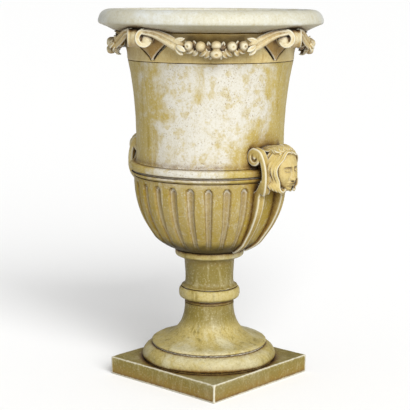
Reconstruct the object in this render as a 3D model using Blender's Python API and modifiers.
"""Cast-stone garden urn: a fluted bowl on a waisted stem, foot and square plinth, with a moulded rim.

The urn is laid up in courses on mortar beds and held by a threaded drain tube on its axis. Scroll
handles with masks, garlands and consoles are cast separately and dowelled to the wall.
Metres, +Z up, origin at the middle of the plinth's underside, handles on the X axis.
"""
import math

import bmesh
import bpy
from mathutils import Matrix, Vector

# Driving dimensions
HEIGHT = 0.919
RIM_RADIUS = 0.2745
PLINTH_SIDE = 0.351
BED = 0.003            # mortar bed between two courses
GAP = 0.0003           # clearance between touching pieces
BORE_RADIUS = 0.014    # hole through the lower courses for the drain tube

# Top of each course
PLINTH_TOP = 0.046
FOOT_TOP = 0.190
STEM_TOP = 0.3205
BOWL_TOP = 0.5145
BELT_TOP = 0.548
DRUM_TOP = 0.797
FRIEZE_TOP = 0.866

# Radii of the outer face
FOOT_RADIUS = 0.169
FOOT_STEP_RADIUS = 0.1447
NECK_RADIUS = 0.0615
KNOP_RADIUS = 0.077
COLLAR_RADIUS = 0.087
BOWL_RADIUS = 0.1885
BELT_RADIUS = 0.1998
DRUM_RADIUS = 0.182
DRUM_TOP_RADIUS = 0.2025
FRIEZE_LOW_RADIUS = 0.2035
FRIEZE_TOP_RADIUS = 0.2365

# Inside of the planting space
INNER_RADIUS = 0.160
FLOOR_Z = 0.352
FLOOR_RADIUS = 0.075

# Smoothness of the turned pieces
COURSE_STEPS = 40
BED_STEPS = 20
PIN_SIDES = 8
VOLUTE_SIDES = 14
SIDE_SKEW = 7.0        # turns the round bars' corners off the planes of symmetry

# Flutes: one grid round the bowl, left out under each handle
FLUTE_GRID = 26
FLUTE_TOP = 0.502
FLUTE_LOW = 0.345
FLUTE_RADIUS = 0.0100
FLUTE_LOW_RADIUS = 0.0045

# Handles, in a plane through the axis: x is the distance from the axis
HANDLE_ANGLES = (0.0, 180.0)
SCROLL_INNER_Y = 0.041
SCROLL_OUTER_Y = 0.061
VOLUTE_CENTRE = (0.1935, 0.577)
VOLUTE_RADIUS = 0.0235
KNEE_Z = 0.4915
MASK_HALF_WIDTH = SCROLL_INNER_Y - 0.0005

# Rim ornaments
CONSOLE_ANGLES = (0.0, 90.0, 180.0, 270.0)
GARLAND_ANGLES = (45.0, 135.0, 225.0, 315.0)
ROLL_CENTRE = (0.250, 0.855)
ROLL_RADIUS = 0.022
ROLL_HALF_WIDTH = 0.028
GARLAND_HALF_ANGLE = 32.0

# Drain tube, its nuts and washers
TUBE_RADIUS = 0.012
TUBE_BORE = 0.009
TUBE_BOTTOM = 0.010
TUBE_TOP = 0.374
NUT_ACROSS_FLATS = 0.036
NUT_HEIGHT = 0.010
WASHER_RADIUS = 0.026
WASHER_THICKNESS = 0.0034
RECESS_RADIUS = 0.035
RECESS_DEPTH = 0.026

STONE = (0.66, 0.58, 0.36)
STONE_DARK = (0.55, 0.46, 0.24)
MORTAR = (0.20, 0.16, 0.09)
ZINC = (0.45, 0.46, 0.46)
STAINLESS = (0.55, 0.55, 0.54)


def clear_scene():
    for thing in list(bpy.data.objects):
        bpy.data.objects.remove(thing, do_unlink=True)


def new_collection(name):
    group = bpy.data.collections.new(name)
    bpy.context.scene.collection.children.link(group)
    return group


def finish_material(name, colour, roughness, metallic):
    material = bpy.data.materials.new(name)
    material.use_nodes = True
    shader = material.node_tree.nodes["Principled BSDF"]
    shader.inputs["Base Color"].default_value = (*colour, 1.0)
    shader.inputs["Roughness"].default_value = roughness
    shader.inputs["Metallic"].default_value = metallic
    return material


def add_part(name, mesh, colour=STONE, roughness=0.85, metallic=0.0):
    part = bpy.data.objects.new(name, mesh)
    mesh.materials.clear()
    mesh.materials.append(finish_material(name, colour, roughness, metallic))
    PARTS.objects.link(part)
    return part


def add_cutter(name, mesh):
    cutter = bpy.data.objects.new(name, mesh)
    cutter.display_type = 'WIRE'
    cutter.hide_render = True
    CUTTERS.objects.link(cutter)
    return cutter


def boolean(target, tool, operation):
    modifier = target.modifiers.new(f"{operation.lower()} {tool.name}", 'BOOLEAN')
    modifier.operation = operation
    modifier.object = tool


def settle(target):
    """Replace an object's mesh by its evaluated one, smooth except at real edges."""
    graph = bpy.context.evaluated_depsgraph_get()
    mesh = bpy.data.meshes.new_from_object(target.evaluated_get(graph), depsgraph=graph)
    mesh.name = target.name
    target.modifiers.clear()
    target.data = mesh
    mesh.shade_smooth()
    mesh.set_sharp_from_angle(angle=math.radians(32))


def mesh_from(bm, name):
    mesh = bpy.data.meshes.new(name)
    bm.to_mesh(mesh)
    bm.free()
    return mesh


# Outlines: points (radius, height), down the outer face

def bend(start, control, end, count):
    """Points of a quadratic curve after its start point."""
    points = []
    for step in range(1, count + 1):
        t = step / count
        weights = ((1 - t) ** 2, 2 * t * (1 - t), t * t)
        points.append(tuple(sum(w * p[axis] for w, p in zip(weights, (start, control, end)))
                            for axis in (0, 1)))
    return points


def rim_face():
    crest = (0.2430, HEIGHT)
    nose = (RIM_RADIUS, 0.8915)
    throat = (0.2600, 0.8800)
    return ([(0.2365, 0.9120), crest] + bend(crest, (0.2700, HEIGHT), nose, 4)
            + bend(nose, (RIM_RADIUS, 0.8835), throat, 2) + [(0.2450, 0.8730), (0.2375, FRIEZE_TOP + BED)])


def frieze_face():
    top = (FRIEZE_TOP_RADIUS, FRIEZE_TOP)
    foot = (FRIEZE_LOW_RADIUS, 0.8060)
    return [top] + bend(top, (0.2040, 0.8450), foot, 4) + [(0.2050, 0.8045), (0.2050, DRUM_TOP + BED)]


def drum_face():
    top = (DRUM_TOP_RADIUS, DRUM_TOP)
    return [top] + bend(top, (0.1840, 0.7120), (DRUM_RADIUS, 0.6000), 5) + [(DRUM_RADIUS, BELT_TOP + BED)]


def belt_face():
    shoulder = (0.1905, BELT_TOP)
    return ([shoulder] + bend(shoulder, (BELT_RADIUS, 0.5450), (BELT_RADIUS, 0.5330), 2)
            + [(0.1985, 0.5220), (0.1905, 0.5215), (0.1905, BOWL_TOP + BED)])


def bowl_face():
    top = (BOWL_RADIUS, BOWL_TOP)
    hip = (0.1616, 0.3970)
    waist = (0.1380, 0.3590)
    return ([top] + bend(top, (BOWL_RADIUS, 0.4450), hip, 5) + bend(hip, (0.1520, 0.3790), waist, 1)
            + bend(waist, (0.1200, 0.3360), (0.0875, STEM_TOP + BED), 3))


def stem_face():
    knop_top = (0.0655, 0.2360)
    knop_side = (KNOP_RADIUS, 0.2165)
    knop_low = (0.0655, 0.1980)
    return ([(COLLAR_RADIUS, STEM_TOP), (COLLAR_RADIUS, 0.3075)]
            + bend((COLLAR_RADIUS, 0.3075), (0.0640, 0.3020), (0.0625, 0.2800), 3)
            + [(NECK_RADIUS, 0.2440), (0.0665, 0.2425), knop_top]
            + bend(knop_top, (KNOP_RADIUS, 0.2350), knop_side, 2)
            + bend(knop_side, (KNOP_RADIUS, 0.1990), knop_low, 2)
            + [(0.0650, FOOT_TOP + BED)])


def foot_face():
    waist = (0.0620, 0.1780)
    skirt = (0.1180, 0.1000)
    groove = (0.1410, 0.0830)
    return ([(0.0625, FOOT_TOP), waist] + bend(waist, (0.0665, 0.1150), skirt, 4)
            + [(0.1400, 0.0945), (FOOT_STEP_RADIUS, 0.0915), (FOOT_STEP_RADIUS, 0.0865), groove]
            + bend(groove, (0.1640, 0.0770), (FOOT_RADIUS, 0.0570), 3) + [(FOOT_RADIUS, PLINTH_TOP + BED)])


def bowl_hollow():
    """Inside of the bowl, from the drain hole out over the floor and up to the top."""
    corner = (FLOOR_RADIUS, FLOOR_Z)
    return ([(BORE_RADIUS, STEM_TOP + BED), (BORE_RADIUS, FLOOR_Z), corner]
            + bend(corner, (0.1500, 0.3750), (INNER_RADIUS, 0.4700), 4) + [(INNER_RADIUS, BOWL_TOP)])


# Turned pieces

def turned_mesh(name, outline, steps):
    """Closed ring swept from a closed outline in the XZ plane."""
    mesh = bpy.data.meshes.new(name)
    count = len(outline)
    edges = [(i, (i + 1) % count) for i in range(count)]
    mesh.from_pydata([(radius, 0.0, z) for radius, z in outline], edges, [])
    blank = bpy.data.objects.new(name, mesh)
    bpy.context.scene.collection.objects.link(blank)
    screw = blank.modifiers.new("turn", 'SCREW')
    screw.steps = steps
    screw.render_steps = steps
    screw.use_merge_vertices = True
    screw.merge_threshold = 0.00001
    settle(blank)
    result = blank.data
    bpy.data.objects.remove(blank)
    return result


def add_course(name, face, hollow, colour=STONE):
    return add_part(name, turned_mesh(name, face + hollow, COURSE_STEPS), colour)


def tube_outline(outer, inner, low, high):
    return [(outer, high), (outer, low), (inner, low), (inner, high)]


def add_bed(name, outer, inner, below):
    """Mortar ring on top of the course that ends at the height below."""
    outline = tube_outline(outer, inner, below + GAP, below + BED - GAP)
    add_part(name, turned_mesh(name, outline, BED_STEPS), MORTAR, 0.95)


def offset_face(points, distance):
    """The outer face moved outwards by a distance, along its own normals."""
    moved = []
    for i, point in enumerate(points):
        before = Vector(points[max(i - 1, 0)])
        after = Vector(points[min(i + 1, len(points) - 1)])
        along = (after - before).normalized()
        moved.append((point[0] - along.y * distance, point[1] + along.x * distance))
    return moved


def wall_cutter():
    """Solid wall a little fatter than the urn, which trims every ornament that is laid on it."""
    face = rim_face()[5:] + frieze_face() + drum_face() + belt_face() + bowl_face()
    core = 0.080
    outline = offset_face(face, GAP)
    outline = [(core, outline[0][1])] + outline + [(core, outline[-1][1])]
    return add_cutter("wall_clearance", turned_mesh("wall_clearance", outline, COURSE_STEPS))


# Solids for ornaments and their fixings

def box_mesh(name, low, high):
    bm = bmesh.new()
    bmesh.ops.create_cube(bm, size=1.0)
    size = Vector(high) - Vector(low)
    middle = (Vector(high) + Vector(low)) / 2
    bmesh.ops.transform(bm, matrix=Matrix.Translation(middle) @ Matrix.Diagonal(size).to_4x4(), verts=bm.verts)
    return mesh_from(bm, name)


def rod_mesh(name, start, end, radius, sides=PIN_SIDES):
    """Round bar between two points."""
    start, end = Vector(start), Vector(end)
    along = end - start
    bm = bmesh.new()
    bmesh.ops.create_cone(bm, cap_ends=True, segments=sides, radius1=radius, radius2=radius,
                          depth=along.length)
    turn = Vector((0, 0, 1)).rotation_difference(along.normalized()).to_matrix().to_4x4()
    skew = Matrix.Rotation(math.radians(SIDE_SKEW), 4, 'Z')
    bmesh.ops.transform(bm, matrix=Matrix.Translation((start + end) / 2) @ turn @ skew, verts=bm.verts)
    return mesh_from(bm, name)


def plate_mesh(name, outline, half_thickness):
    """Flat outline in its local XY plane, thickened both ways and turned to stand in the XZ plane."""
    curve = bpy.data.curves.new(name, 'CURVE')
    curve.dimensions = '2D'
    curve.fill_mode = 'BOTH'
    curve.extrude = half_thickness
    spline = curve.splines.new('POLY')
    spline.points.add(len(outline) - 1)
    for point, (x, y) in zip(spline.points, outline):
        point.co = (x, y, 0.0, 1.0)
    spline.use_cyclic_u = True
    blank = bpy.data.objects.new(name, curve)
    bpy.context.scene.collection.objects.link(blank)
    graph = bpy.context.evaluated_depsgraph_get()
    mesh = bpy.data.meshes.new_from_object(blank.evaluated_get(graph), depsgraph=graph)
    bpy.data.objects.remove(blank)
    bm = bmesh.new()
    bm.from_mesh(mesh)
    bmesh.ops.remove_doubles(bm, verts=bm.verts, dist=0.00001)
    bmesh.ops.transform(bm, matrix=Matrix.Rotation(math.radians(90), 4, 'X'), verts=bm.verts)
    return mesh_from(bm, name)


def tube_mesh(name, points, radii, bevel_resolution):
    """Round bar of changing radius along a route, with closed ends."""
    curve = bpy.data.curves.new(name, 'CURVE')
    curve.dimensions = '3D'
    curve.bevel_depth = 1.0
    curve.bevel_resolution = bevel_resolution
    curve.use_fill_caps = True
    spline = curve.splines.new('POLY')
    spline.points.add(len(points) - 1)
    for node, point, radius in zip(spline.points, points, radii):
        node.co = (*point, 1.0)
        node.radius = radius
    blank = bpy.data.objects.new(name, curve)
    bpy.context.scene.collection.objects.link(blank)
    graph = bpy.context.evaluated_depsgraph_get()
    mesh = bpy.data.meshes.new_from_object(blank.evaluated_get(graph), depsgraph=graph)
    bpy.data.objects.remove(blank)
    bm = bmesh.new()
    bm.from_mesh(mesh)
    bmesh.ops.remove_doubles(bm, verts=bm.verts, dist=0.00001)
    return mesh_from(bm, name)


def turned_copy(mesh, degrees):
    """Copy of a mesh, turned about the urn's axis."""
    copy = mesh.copy()
    copy.transform(Matrix.Rotation(math.radians(degrees), 4, 'Z'))
    return copy


# The courses

def add_plinth():
    half = PLINTH_SIDE / 2
    plinth = add_part("plinth", box_mesh("plinth", (-half, -half, 0.0), (half, half, PLINTH_TOP)), STONE_DARK)
    edge = plinth.modifiers.new("worn edges", 'BEVEL')
    edge.width = 0.002
    edge.segments = 1
    bore = rod_mesh("plinth_bore", (0, 0, -0.01), (0, 0, PLINTH_TOP + 0.01), BORE_RADIUS, BED_STEPS)
    recess = rod_mesh("plinth_recess", (0, 0, -0.01), (0, 0, RECESS_DEPTH), RECESS_RADIUS, BED_STEPS)
    for cutter in (add_cutter("plinth_bore", bore), add_cutter("plinth_recess", recess)):
        boolean(plinth, cutter, 'DIFFERENCE')
    settle(plinth)


def face_radius(face, z):
    """Radius of an outer face at a height."""
    for upper, lower in zip(face, face[1:]):
        if lower[1] <= z <= upper[1]:
            share = (upper[1] - z) / (upper[1] - lower[1])
            return upper[0] + share * (lower[0] - upper[0])
    raise ValueError(f"no face at {z}")


def flute_cutter():
    """One round-headed flute that follows the bowl's face at the angle zero."""
    face = bowl_face()
    head_depths = (0.0, 0.0070)
    head_shares = (0.45, 1.00)
    body_steps = 3
    heights = [FLUTE_TOP - depth for depth in head_depths]
    radii = [FLUTE_RADIUS * share for share in head_shares]
    start = heights[-1]
    for step in range(1, body_steps + 1):
        share = step / body_steps
        heights.append(start + (FLUTE_LOW - start) * share)
        radii.append(FLUTE_RADIUS + (FLUTE_LOW_RADIUS - FLUTE_RADIUS) * share)
    points = [(face_radius(face, z) + 0.1 * radius, 0.0, z) for z, radius in zip(heights, radii)]
    return tube_mesh("flute", points, radii, 1)


def add_bowl():
    bowl = add_course("bowl", bowl_face(), bowl_hollow())
    pitch = 360.0 / FLUTE_GRID
    pattern = flute_cutter()
    for i in range(FLUTE_GRID):
        angle = (i + 0.5) * pitch
        beside_handle = min(abs((angle - handle + 180) % 360 - 180) for handle in HANDLE_ANGLES)
        if beside_handle > pitch:
            cutter = add_cutter(f"flute_{i:02d}", turned_copy(pattern, angle))
            boolean(bowl, cutter, 'DIFFERENCE')
    settle(bowl)


def add_courses():
    add_plinth()
    lower_bore = [(BORE_RADIUS, PLINTH_TOP + BED), (BORE_RADIUS, FOOT_TOP)]
    add_course("foot", foot_face(), lower_bore, STONE_DARK)
    add_course("stem", stem_face(), [(BORE_RADIUS, FOOT_TOP + BED), (BORE_RADIUS, STEM_TOP)], STONE_DARK)
    add_bowl()
    add_course("belt", belt_face(), [(INNER_RADIUS, BOWL_TOP + BED), (INNER_RADIUS, BELT_TOP)])
    add_course("drum", drum_face(), [(INNER_RADIUS, BELT_TOP + BED), (0.172, DRUM_TOP)])
    add_course("frieze", frieze_face(), [(0.172, DRUM_TOP + BED), (0.208, FRIEZE_TOP)])
    add_course("rim", rim_face(), [(0.208, FRIEZE_TOP + BED), (0.2260, 0.8900)])


def add_beds():
    add_bed("bed_plinth", FOOT_RADIUS - BED, BORE_RADIUS, PLINTH_TOP)
    add_bed("bed_foot", 0.0585, BORE_RADIUS, FOOT_TOP)
    add_bed("bed_stem", COLLAR_RADIUS - BED, BORE_RADIUS, STEM_TOP)
    add_bed("bed_bowl", BOWL_RADIUS - BED, INNER_RADIUS, BOWL_TOP)
    add_bed("bed_belt", DRUM_RADIUS - BED, INNER_RADIUS, BELT_TOP)
    add_bed("bed_drum", DRUM_TOP_RADIUS - BED, 0.173, DRUM_TOP)
    add_bed("bed_frieze", FRIEZE_TOP_RADIUS - BED, 0.209, FRIEZE_TOP)


# Handles: each has two scrolls with root ribs, and a mask between them

def scroll_outline():
    """Strap and volute in the XZ plane: down the outer edge, back up the inner edge."""
    crown = (0.2010, 0.6003)
    strap = (0.2340, 0.5350)
    outer = [crown] + bend(crown, (0.2260, 0.5930), strap, 5) + [(0.2345, KNEE_Z)]
    root = [(0.1700, KNEE_Z), (0.1700, 0.4990), (0.1960, 0.5020)]
    inner = bend(root[-1], (0.2150, 0.5080), (0.2185, 0.5300), 3) + [(0.2160, 0.5560)]
    return outer + root + inner + [VOLUTE_CENTRE]


def scroll_rib_mesh():
    """Loft of the root rib, from the knee down the bowl to the collar, on the +Y side."""
    face = bowl_face()
    heights = (0.4990, 0.4700, 0.4400, 0.4150, 0.3980, 0.3750, 0.3550, 0.3300)
    top_stand = 0.0300
    low_stand = 0.0060
    top_width, low_width = 0.0200, 0.0130
    inset = 0.0080
    bm = bmesh.new()
    rings = []
    for z in heights:
        share = (heights[0] - z) / (heights[0] - heights[-1])
        radius = face_radius(face, z)
        outer_y = min(SCROLL_OUTER_Y, radius * math.sin(math.radians(18.5 - 3.0 * share)))
        width = top_width + (low_width - top_width) * share
        stand = top_stand + (low_stand - top_stand) * share ** 0.7
        ring = []
        for y, radial in ((outer_y, radius - inset), (outer_y, radius + stand),
                          (outer_y - width, radius + stand), (outer_y - width, radius - inset)):
            ring.append(bm.verts.new((math.sqrt(radial ** 2 - y ** 2), y, z)))
        rings.append(ring)
    for upper, lower in zip(rings, rings[1:]):
        for i in range(4):
            j = (i + 1) % 4
            bm.faces.new((upper[i], upper[j], lower[j], lower[i]))
    bm.faces.new(rings[0][::-1])
    bm.faces.new(rings[-1])
    bmesh.ops.recalc_face_normals(bm, faces=bm.faces)
    return mesh_from(bm, "root_rib")


def add_scroll(name, angle, side, wall):
    """Side is +1 or -1: which side of the handle's middle plane the scroll stands on."""
    middle_y = (SCROLL_INNER_Y + SCROLL_OUTER_Y) / 2
    half = (SCROLL_OUTER_Y - SCROLL_INNER_Y) / 2
    strap = plate_mesh(name, scroll_outline(), half)
    strap.transform(Matrix.Translation((0.0, middle_y, 0.0)))
    centre = Vector((VOLUTE_CENTRE[0], middle_y, VOLUTE_CENTRE[1]))
    reach = Vector((0.0, half, 0.0))
    volute = rod_mesh("volute", centre - reach, centre + reach, VOLUTE_RADIUS, 20)
    rib = scroll_rib_mesh()
    place = Matrix.Rotation(math.radians(angle), 4, 'Z') @ Matrix.Diagonal((1.0, side, 1.0, 1.0))
    for mesh in (strap, volute, rib):
        mesh.transform(place)
        if side < 0:
            mesh.flip_normals()
    scroll = add_part(name, strap)
    boolean(scroll, add_cutter(f"{name}_volute", volute), 'UNION')
    boolean(scroll, add_cutter(f"{name}_rib", rib), 'UNION')
    boolean(scroll, wall, 'DIFFERENCE')
    return scroll


def mask_mesh():
    """Plain egg-shaped head in front of a block that runs back to the wall."""
    bm = bmesh.new()
    bmesh.ops.create_uvsphere(bm, u_segments=16, v_segments=10, radius=1.0)
    size = Matrix.Diagonal((0.0300, 0.0520, 0.0590, 1.0))
    bmesh.ops.transform(bm, matrix=Matrix.Translation((0.2430, 0.0, 0.5485)) @ size, verts=bm.verts)
    return mesh_from(bm, "head")


def add_mask(name, angle, wall):
    place = Matrix.Rotation(math.radians(angle), 4, 'Z')
    strap_front = 0.2352
    block = box_mesh(name, (0.1500, -MASK_HALF_WIDTH, 0.5080), (0.2400, MASK_HALF_WIDTH, 0.6000))
    head = mask_mesh()
    for mesh in (block, head):
        mesh.transform(place)
    mask = add_part(name, block)
    boolean(mask, add_cutter(f"{name}_head", head), 'UNION')
    for side in (1, -1):
        near, far = sorted((side * MASK_HALF_WIDTH, side * 0.08))
        relief = box_mesh(f"{name}_relief", (0.1400, near, 0.4500), (strap_front, far, 0.6300))
        relief.transform(place)
        boolean(mask, add_cutter(f"{name}_relief_{'left' if side > 0 else 'right'}", relief), 'DIFFERENCE')
    boolean(mask, wall, 'DIFFERENCE')
    return mask


# Consoles and garlands under the rim

def volute_disc(side):
    """One end of a console's roll, its face turned half way between outwards and sideways."""
    half = 0.008
    facing = Vector((1.0, side, 0.0)).normalized()
    centre = Vector((ROLL_CENTRE[0] - 0.002, side * ROLL_HALF_WIDTH, ROLL_CENTRE[1]))
    return rod_mesh("volute", centre - facing * half, centre + facing * half, ROLL_RADIUS, VOLUTE_SIDES)


def pendant_mesh():
    """Backing plate that tapers from the roll down to a point on the frieze's lower edge."""
    outline = [(0.0, 0.8055), (0.016, 0.8180), (0.030, 0.8290), (0.050, 0.8360), (0.046, 0.8440),
               (0.040, 0.8640)]
    outline = outline + [(-y, z) for y, z in outline[:0:-1]]
    plate = plate_mesh("pendant", outline, 0.040)
    plate.transform(Matrix.Rotation(math.radians(90), 4, 'Z'))
    front_low, front_high = 0.2075, 0.2400
    low, high = 0.8055, 0.8500
    for vertex in plate.vertices:
        share = min((vertex.co.z - low) / (high - low), 1.0)
        vertex.co.x = front_low + (front_high - front_low) * share if vertex.co.x > 0 else 0.170
    return plate


def add_console(name, angle, wall):
    place = Matrix.Rotation(math.radians(angle), 4, 'Z')
    x, z = ROLL_CENTRE
    roll = rod_mesh(name, (x, -0.024, z), (x, 0.024, z), ROLL_RADIUS - 0.003, VOLUTE_SIDES)
    extras = [volute_disc(1), volute_disc(-1), pendant_mesh()]
    for mesh in [roll] + extras:
        mesh.transform(place)
    console = add_part(name, roll)
    for i, extra in enumerate(extras):
        boolean(console, add_cutter(f"{name}_piece_{i}", extra), 'UNION')
    boolean(console, wall, 'DIFFERENCE')
    return console


def garland_mesh(name):
    """Swag hanging from one console to the next, fattest at its middle."""
    steps = 12
    points, radii = [], []
    for i in range(steps + 1):
        share = 2 * i / steps - 1
        angle = math.radians(GARLAND_HALF_ANGLE * share)
        drop = 1 - share ** 2
        radius = 0.2440 - 0.0130 * drop
        points.append((radius * math.cos(angle), radius * math.sin(angle), 0.8560 - 0.0270 * drop))
        radii.append(0.0085 + 0.0125 * drop ** 1.5)
    return tube_mesh(name, points, radii, 2)


def add_garland(name, angle, wall):
    garland = add_part(name, turned_copy(garland_mesh(name), angle))
    boolean(garland, wall, 'DIFFERENCE')
    return garland


def add_dowel(name, pieces, start, end, radius, angle):
    """Steel dowel at an angle round the urn, and its blind hole in each of the pieces it joins."""
    place = Matrix.Rotation(math.radians(angle), 4, 'Z')
    dowel = rod_mesh(name, start, end, radius)
    dowel.transform(place)
    add_part(name, dowel, STAINLESS, 0.35, 1.0)
    along = (Vector(end) - Vector(start)).normalized() * 2 * GAP
    hole = rod_mesh(f"{name}_hole", Vector(start) - along, Vector(end) + along, radius + GAP)
    hole.transform(place)
    cutter = add_cutter(f"{name}_hole", hole)
    for piece in pieces:
        boolean(piece, cutter, 'DIFFERENCE')


def add_handles(wall):
    drum = PARTS.objects["drum"]
    pieces = []
    for number, angle in enumerate(HANDLE_ANGLES, start=1):
        mask = add_mask(f"mask_{number}", angle, wall)
        add_dowel(f"mask_dowel_{number}", (mask, drum), (0.166, 0.0, 0.580), (0.220, 0.0, 0.580), 0.005, angle)
        pieces.append(mask)
        for side, word in ((1, "left"), (-1, "right")):
            scroll = add_scroll(f"scroll_{number}_{word}", angle, side, wall)
            y = side * (SCROLL_INNER_Y + SCROLL_OUTER_Y) / 2
            z = VOLUTE_CENTRE[1]
            add_dowel(f"scroll_dowel_{number}_{word}", (scroll, drum), (0.159, y, z), (0.204, y, z), 0.004, angle)
            pieces.append(scroll)
    return pieces


def add_rim_ornaments(wall):
    frieze = PARTS.objects["frieze"]
    pieces = []
    for number, angle in enumerate(CONSOLE_ANGLES, start=1):
        console = add_console(f"console_{number}", angle, wall)
        add_dowel(f"console_dowel_{number}", (console, frieze), (0.197, 0.0, 0.838), (0.232, 0.0, 0.838),
                  0.003, angle)
        pieces.append(console)
    for number, angle in enumerate(GARLAND_ANGLES, start=1):
        garland = add_garland(f"garland_{number}", angle, wall)
        add_dowel(f"garland_dowel_{number}", (garland, frieze), (0.192, 0.0, 0.829), (0.230, 0.0, 0.829),
                  0.003, angle)
        pieces.append(garland)
    return pieces


# Drain tube that ties the courses together

def nut_mesh(name, low):
    bm = bmesh.new()
    corner = NUT_ACROSS_FLATS / 2 / math.cos(math.radians(30))
    bmesh.ops.create_cone(bm, cap_ends=True, segments=6, radius1=corner, radius2=corner, depth=NUT_HEIGHT)
    bmesh.ops.translate(bm, verts=bm.verts, vec=(0, 0, low + NUT_HEIGHT / 2))
    return mesh_from(bm, name)


def add_nut(name, low, bore):
    nut = add_part(name, nut_mesh(name, low), ZINC, 0.5, 1.0)
    boolean(nut, bore, 'DIFFERENCE')
    settle(nut)


def add_washer(name, low):
    outline = tube_outline(WASHER_RADIUS, TUBE_RADIUS + GAP, low, low + WASHER_THICKNESS)
    add_part(name, turned_mesh(name, outline, BED_STEPS), ZINC, 0.5, 1.0)


def add_drain():
    outline = tube_outline(TUBE_RADIUS, TUBE_BORE, TUBE_BOTTOM, TUBE_TOP)
    add_part("drain_tube", turned_mesh("drain_tube", outline, BED_STEPS), ZINC, 0.5, 1.0)
    bore = rod_mesh("nut_bore", (0, 0, -0.01), (0, 0, HEIGHT), TUBE_RADIUS + GAP, BED_STEPS)
    cutter = add_cutter("nut_bore", bore)
    low_washer = RECESS_DEPTH - GAP - WASHER_THICKNESS
    add_washer("washer_lower", low_washer)
    add_nut("nut_lower", low_washer - GAP - NUT_HEIGHT, cutter)
    add_washer("washer_upper", FLOOR_Z + GAP)
    add_nut("nut_upper", FLOOR_Z + 2 * GAP + WASHER_THICKNESS, cutter)


clear_scene()
PARTS = new_collection("garden_urn")
CUTTERS = new_collection("cutters")
add_courses()
add_beds()
wall_solid = wall_cutter()
ornaments = add_handles(wall_solid) + add_rim_ornaments(wall_solid)
for piece in ornaments + [PARTS.objects["drum"], PARTS.objects["frieze"]]:
    settle(piece)
add_drain()
